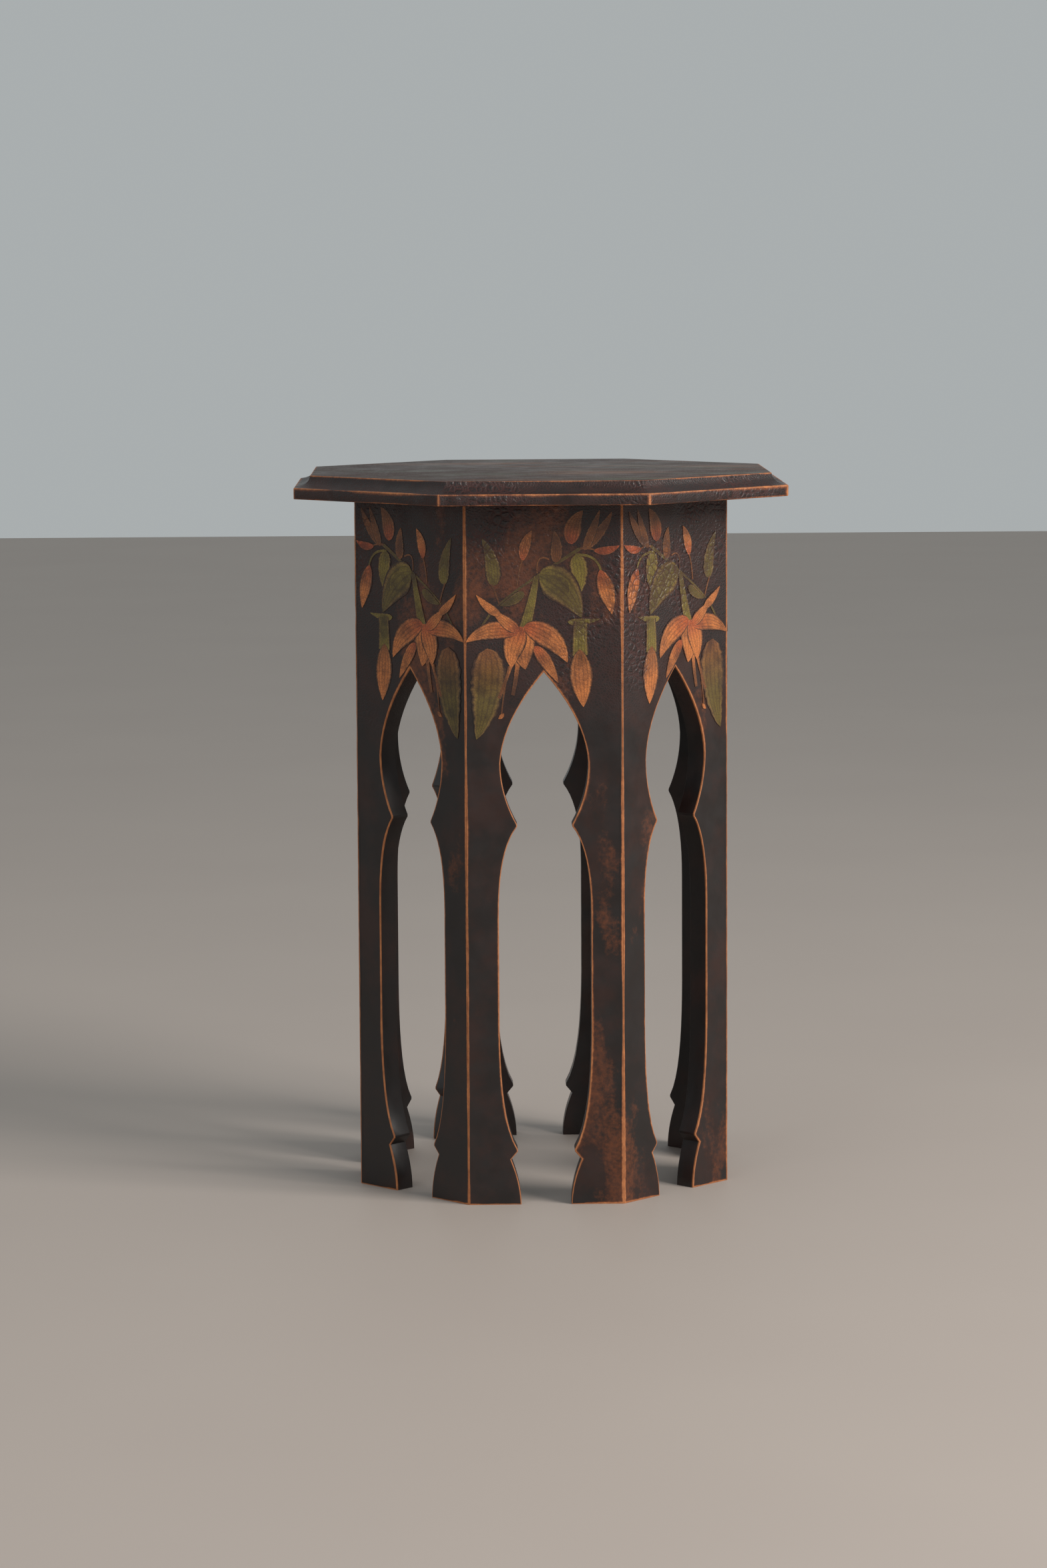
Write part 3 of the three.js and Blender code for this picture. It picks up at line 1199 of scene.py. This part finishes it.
@dataclass(frozen=True)
class TopFinish:
    """Lacquer on the top: rubbed arrises, and a face dulled by use with faded paint left on it, whose
    lighter, streaked grey-brown is partly a painted sheen.
    """

    lacquer: Lacquer
    board: TopBoard
    worn_and_sheen_brown: Colour = (0.060, 0.040, 0.031)
    faded_pink: Colour = (0.155, 0.075, 0.045)
    faded_green: Colour = (0.075, 0.085, 0.060)
    rub_width: float = 0.0016
    skin: float = 0.0002
    blend: float = 0.001

    def line(self, palette: Palette, outward: Socket, height: Socket, at: Point) -> Socket:
        """How far a point is from an arris that runs round the board.

        Args:
            palette: The material that is being built.
            outward: How far out the point is.
            height: How high it is.
            at: How far out the arris is, and how high.

        Returns:
            The distance.
        """
        return palette.distance(
            palette.sum("SUBTRACT", outward, at[0]), palette.sum("SUBTRACT", height, at[1])
        )

    def make(self) -> bpy.types.Material:
        """Builds the material.

        Returns:
            The finished material.
        """
        palette = Palette("top_lacquer")
        colour, rough, normal = self.lacquer.ground(palette)
        across, outward, height = palette.fold()
        board = self.board
        # The flat face gets a lighter grey-brown streaked along X: partly lacquer dulled by use, partly a
        # painted sheen of reflected light
        streaked = palette.stretch(palette.place, (0.22, 1.0, 1.0))
        mottled = palette.stretch(palette.place, (0.3, 1.3, 1.0))
        streak = palette.grain(streaked, 95.0, 4.0, 0.65)
        flat = palette.fade(height, board.top - 3 * self.skin, board.top - self.skin)
        worn_and_sheen = palette.mix(palette.fade(streak, 0.35, 0.65), self.lacquer.red_brown, self.worn_and_sheen_brown)
        pink = palette.fade(palette.grain(streaked, 26.0, 3.0), 0.50, 0.66)
        green = palette.fade(palette.grain(mottled, 31.0, 3.0), 0.52, 0.68)
        worn_and_sheen = palette.mix(palette.sum("MULTIPLY", pink, 0.8), worn_and_sheen, self.faded_pink)
        worn_and_sheen = palette.mix(palette.sum("MULTIPLY", green, 0.7), worn_and_sheen, self.faded_green)
        colour = palette.mix(palette.sum("MULTIPLY", flat, 0.85), colour, worn_and_sheen)
        rough = palette.sum("ADD", rough, palette.sum("MULTIPLY", flat, 0.08))
        ledge = self.line(palette, outward, height, (board.apothem, board.ledge))
        under = self.line(palette, outward, height, (board.apothem, board.under))
        upper = self.line(palette, outward, height, (board.flat, board.top))
        side = palette.sum("MULTIPLY", outward, math.tan(SECTOR / 2))
        corner = palette.sum("SUBTRACT", side, palette.sum("ABSOLUTE", across))
        band = board.apothem - self.blend
        within = palette.fade(outward, band - 2 * self.blend, band, 1.0, 0.0)
        corner = palette.sum("ADD", palette.sum("MULTIPLY", corner, 0.8), within)
        distance = palette.sum("MINIMUM", ledge, palette.sum("MULTIPLY", under, 2.2))
        distance = palette.sum("MINIMUM", distance, palette.sum("MULTIPLY", upper, 2.0))
        distance = palette.sum("MINIMUM", distance, corner)
        worn = palette.grain(palette.place, 17.0, 3.0)
        width = palette.sum("MULTIPLY", palette.fade(worn, 0.34, 0.66, 0.3, 1.7), self.rub_width)
        colour, bare = self.lacquer.rub(palette, colour, distance, width)
        rough = palette.sum("ADD", rough, palette.sum("MULTIPLY", bare, 0.2))
        return palette.finish(colour, rough, normal)


@dataclass(frozen=True)
class BlockFinish:
    """Unfinished softwood of the glue blocks, with its growth rings and saw marks."""

    pale: Colour = (0.27, 0.145, 0.068)
    dark: Colour = (0.115, 0.055, 0.026)

    def make(self) -> bpy.types.Material:
        """Builds the material.

        Returns:
            The finished material.
        """
        palette = Palette("block_wood")
        bands = palette.grain(palette.stretch(palette.place, (1.0, 1.0, 0.12)), 420.0, 3.0)
        rings = palette.grain(palette.stretch(palette.place, (1.0, 1.0, 0.08)), 110.0, 2.0)
        colour = palette.mix(palette.fade(rings, 0.35, 0.65), self.pale, self.dark)
        streaks = palette.sum("MULTIPLY", palette.fade(bands, 0.45, 0.7), 0.6)
        colour = palette.mix(streaks, colour, self.dark)
        rough = palette.fade(bands, 0.3, 0.7, 0.72, 0.9)
        return palette.finish(colour, rough, palette.relief(bands, 0.0002, 0.6))


@dataclass(frozen=True)
class SteelFinish:
    """Dull steel of old screws, with spots of rust."""

    steel: Colour = (0.30, 0.28, 0.255)
    rust: Colour = (0.14, 0.047, 0.018)

    def make(self) -> bpy.types.Material:
        """Builds the material.

        Returns:
            The finished material.
        """
        palette = Palette("screw_steel")
        spots = palette.grain(palette.place, 900.0, 4.0, 0.7)
        rusty = palette.fade(spots, 0.48, 0.62)
        palette.shader.inputs["Metallic"].default_value = 0.9
        colour = palette.mix(rusty, self.steel, self.rust)
        rough = palette.fade(rusty, 0.0, 1.0, 0.38, 0.8)
        return palette.finish(colour, rough, palette.relief(spots, 0.0001, 0.5))


# The studio


@dataclass(frozen=True)
class Lamp:
    """One soft square light that faces the table. Its power is in watts."""

    name: str
    place: Place
    size: float
    power: float
    tint: Colour
    aim: Place = (0.0, 0.0, 0.28)

    def hang(self) -> None:
        """Hangs the light in the scene."""
        lamp = bpy.data.lights.new(self.name, "AREA")
        lamp.size = self.size
        lamp.energy = self.power
        lamp.color = self.tint
        stand = bpy.data.objects.new(self.name, lamp)
        bpy.context.scene.collection.objects.link(stand)
        stand.location = self.place
        way = Vector(self.aim) - Vector(self.place)
        stand.rotation_euler = way.to_track_quat("-Z", "Y").to_euler()


@dataclass(frozen=True)
class Studio:
    """A plain pale floor, soft light from the front right, and the photograph's viewpoint."""

    sensor_width: float = 36.0
    lens: float = 101.6
    place: Place = (-0.0567, -3.0188, 0.6278)
    heading: float = math.radians(-0.85)
    pitch: float = math.radians(6.81)
    roll: float = math.radians(-0.34)
    floor_span: float = 14.0
    floor_tones: tuple[Colour, Colour] = ((0.40, 0.345, 0.31), (0.43, 0.375, 0.335))
    air: Colour = (0.40, 0.425, 0.43)
    key: Lamp = Lamp("key", (2.4, -1.6, 1.9), 1.6, 115.0, (1.0, 0.95, 0.90))
    fill: Lamp = Lamp("fill", (-1.8, -2.6, 1.5), 2.0, 14.0, (0.94, 0.97, 1.0))

    def set_camera(self) -> None:
        """Stands the camera where the photograph was taken."""
        camera = bpy.data.objects.new("camera", bpy.data.cameras.new("camera"))
        bpy.context.scene.collection.objects.link(camera)
        camera.data.sensor_width = self.sensor_width
        camera.data.lens = self.lens
        turn = Matrix.Rotation(self.heading, 4, "Z") @ Matrix.Rotation(math.pi / 2 - self.pitch, 4, "X")
        camera.matrix_world = Matrix.Translation(self.place) @ turn @ Matrix.Rotation(self.roll, 4, "Z")
        bpy.context.scene.camera = camera

    def lay_floor(self) -> None:
        """Lays the floor."""
        bpy.ops.object.select_all(action="DESELECT")
        bpy.ops.mesh.primitive_plane_add(size=self.floor_span, location=(0, 0, 0))
        floor = bpy.context.active_object
        floor.name = "studio_floor"
        palette = Palette("floor_matt")
        speck = palette.grain(palette.place, 3.0, 2.0)
        colour = palette.mix(speck, *self.floor_tones)
        floor.data.materials.append(palette.finish(colour, 0.6, None))

    def fill_air(self) -> None:
        """Gives the room its even, pale light."""
        world = bpy.data.worlds.new("studio_air")
        bpy.context.scene.world = world
        world.use_nodes = True
        background = world.node_tree.nodes["Background"]
        background.inputs["Color"].default_value = (*self.air, 1.0)
        background.inputs["Strength"].default_value = 1.0

    def build(self) -> None:
        """Sets up the camera, the floor and the light."""
        self.set_camera()
        self.lay_floor()
        self.key.hang()
        self.fill.hang()
        self.fill_air()
        bpy.context.scene.view_settings.view_transform = "Standard"


def dress_inner_pieces(solids: dict[str, bpy.types.Object]) -> None:
    """Gives the glue blocks and the screws their finishes.

    Args:
        solids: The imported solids, by name.
    """
    wood = BlockFinish().make()
    steel = SteelFinish().make()
    for name, solid in solids.items():
        if "block" in name or "screw" in name:
            solid.data.materials.clear()
            solid.data.materials.append(wood if "block" in name else steel)


def main() -> None:
    """Builds the table's looks and reports each piece."""
    logging.basicConfig(level=logging.INFO, format="%(name)s: %(message)s")
    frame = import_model()
    bpy.ops.object.select_all(action="DESELECT")
    solids = frame["nodes"]
    Studio().build()
    lacquer = Lacquer()
    panels = SidePanels(solids)
    panels.build(PanelFinish(lacquer, panels.ring, -panels.face).make())
    PaintedSprays().build(PaintFinish(lacquer).make())
    board = TopBoard(solids["top_board"])
    board.build(TopFinish(lacquer, board).make())
    dress_inner_pieces(solids)


if __name__ == "__main__":
    main()
